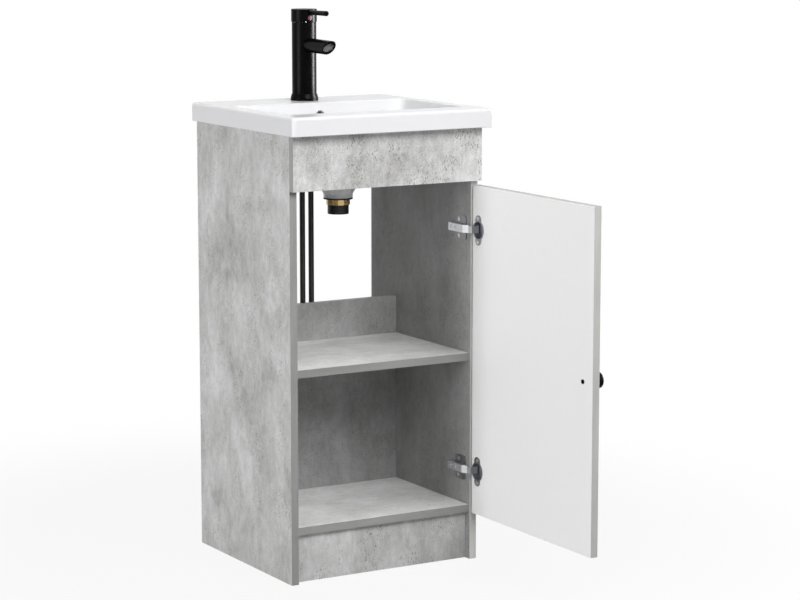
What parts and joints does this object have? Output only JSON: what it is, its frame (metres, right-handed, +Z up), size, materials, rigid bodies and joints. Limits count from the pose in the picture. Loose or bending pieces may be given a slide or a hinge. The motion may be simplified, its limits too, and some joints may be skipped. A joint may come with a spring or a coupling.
{
  "type": "vanity unit",
  "caption": "Floor-standing laminated cabinet with one hinged door and a middle shelf, under a ceramic slab basin with a single-lever faucet, its waste and supply hoses.",
  "frame": {"origin": "on the floor, at mid-width of the cabinet, in the plane of the wall behind it", "axes": "+Z up, -Y towards the user in front, +X to the user's right, where the door is hinged"},
  "size_m": [0.4477, 0.7986, 1.069],
  "materials": {
    "concrete_laminate": "concrete-grey laminate on particle board",
    "bare_dowel": "plain beech",
    "ceramic": "glossy white glaze",
    "black_metal": "satin black coating",
    "steel": "nickel plated",
    "brass": "turned",
    "black_plastic": "matt black",
    "rubber": "matt",
    "hose_cover": "smooth black jacket",
    "grey_plastic": "matt grey",
    "red_mark": "gloss",
    "blue_mark": "gloss"
  },
  "bodies": {
    "cabinet": {"side_panel_left": "concrete_laminate", "side_panel_right": "concrete_laminate", "fascia_panel": "concrete_laminate", "base_shelf": "concrete_laminate", "middle_shelf": "concrete_laminate", "plinth": "concrete_laminate", "back_panel": "concrete_laminate", "rear_rail": "concrete_laminate", "cam_bolts": "steel", "cam_locks": "steel", "dowels": "bare_dowel", "hinge_plate_screws": "steel", "hinge_adjust_screws": "steel", "basin": "ceramic", "waste_body": "black_plastic", "waste_top_seal": "rubber", "waste_gasket": "rubber", "waste_nut": "brass", "faucet_body": "black_metal", "faucet_base_ring": "black_metal", "base_gasket": "rubber", "aerator": "grey_plastic", "cartridge": "grey_plastic", "retaining_ring": "brass", "faucet_stud": "steel", "clamp_rubber": "rubber", "clamp_plate": "steel", "faucet_nut": "brass", "hose_nipples": "brass", "hose_ferrules_top": "steel", "hose_left": "hose_cover", "hose_right": "hose_cover", "end_ferrule_left": "steel", "end_ferrule_right": "steel", "end_nut_left": "steel", "end_nut_right": "steel", "hinge_arm_upper": "steel", "hinge_plate_upper": "steel", "hinge_arm_lower": "steel", "hinge_plate_lower": "steel"},
    "door": {"door_panel": "concrete_laminate", "knob": "black_metal", "knob_screw": "black_metal", "hinge_cup_screws": "steel", "hinge_cup_upper": "steel", "hinge_cup_lower": "steel", "hinge_pin_upper": "steel", "hinge_pin_lower": "steel"},
    "handle_turn": {"handle_carrier": "brass", "tilt_pin": "steel"},
    "handle": {"handle_cap": "black_metal", "lever": "black_metal", "indicator_red": "red_mark", "indicator_blue": "blue_mark"},
    "plug": {"plug": "black_metal", "plug_stem": "black_plastic"}
  },
  "joints": [
    {"name": "door_hinge", "type": "hinge", "parent": "cabinet", "child": "door", "pos_m": [0.1989, -0.3952, 0.417], "axis": [0, 0, 1], "range_deg": [-90, 20]},
    {"name": "handle_swivel", "type": "hinge", "parent": "cabinet", "child": "handle_turn", "pos_m": [0, -0.066, 1.05], "axis": [0, 0, 1], "range_deg": [-45, 45]},
    {"name": "handle_tilt", "type": "hinge", "parent": "handle_turn", "child": "handle", "pos_m": [0, -0.0475, 1.048], "axis": [-1, 0, 0], "range_deg": [0, 20]},
    {"name": "plug_lift", "type": "slide", "parent": "cabinet", "child": "plug", "axis": [0, 0, 1], "range_m": [0, 0.009]}
  ]
}
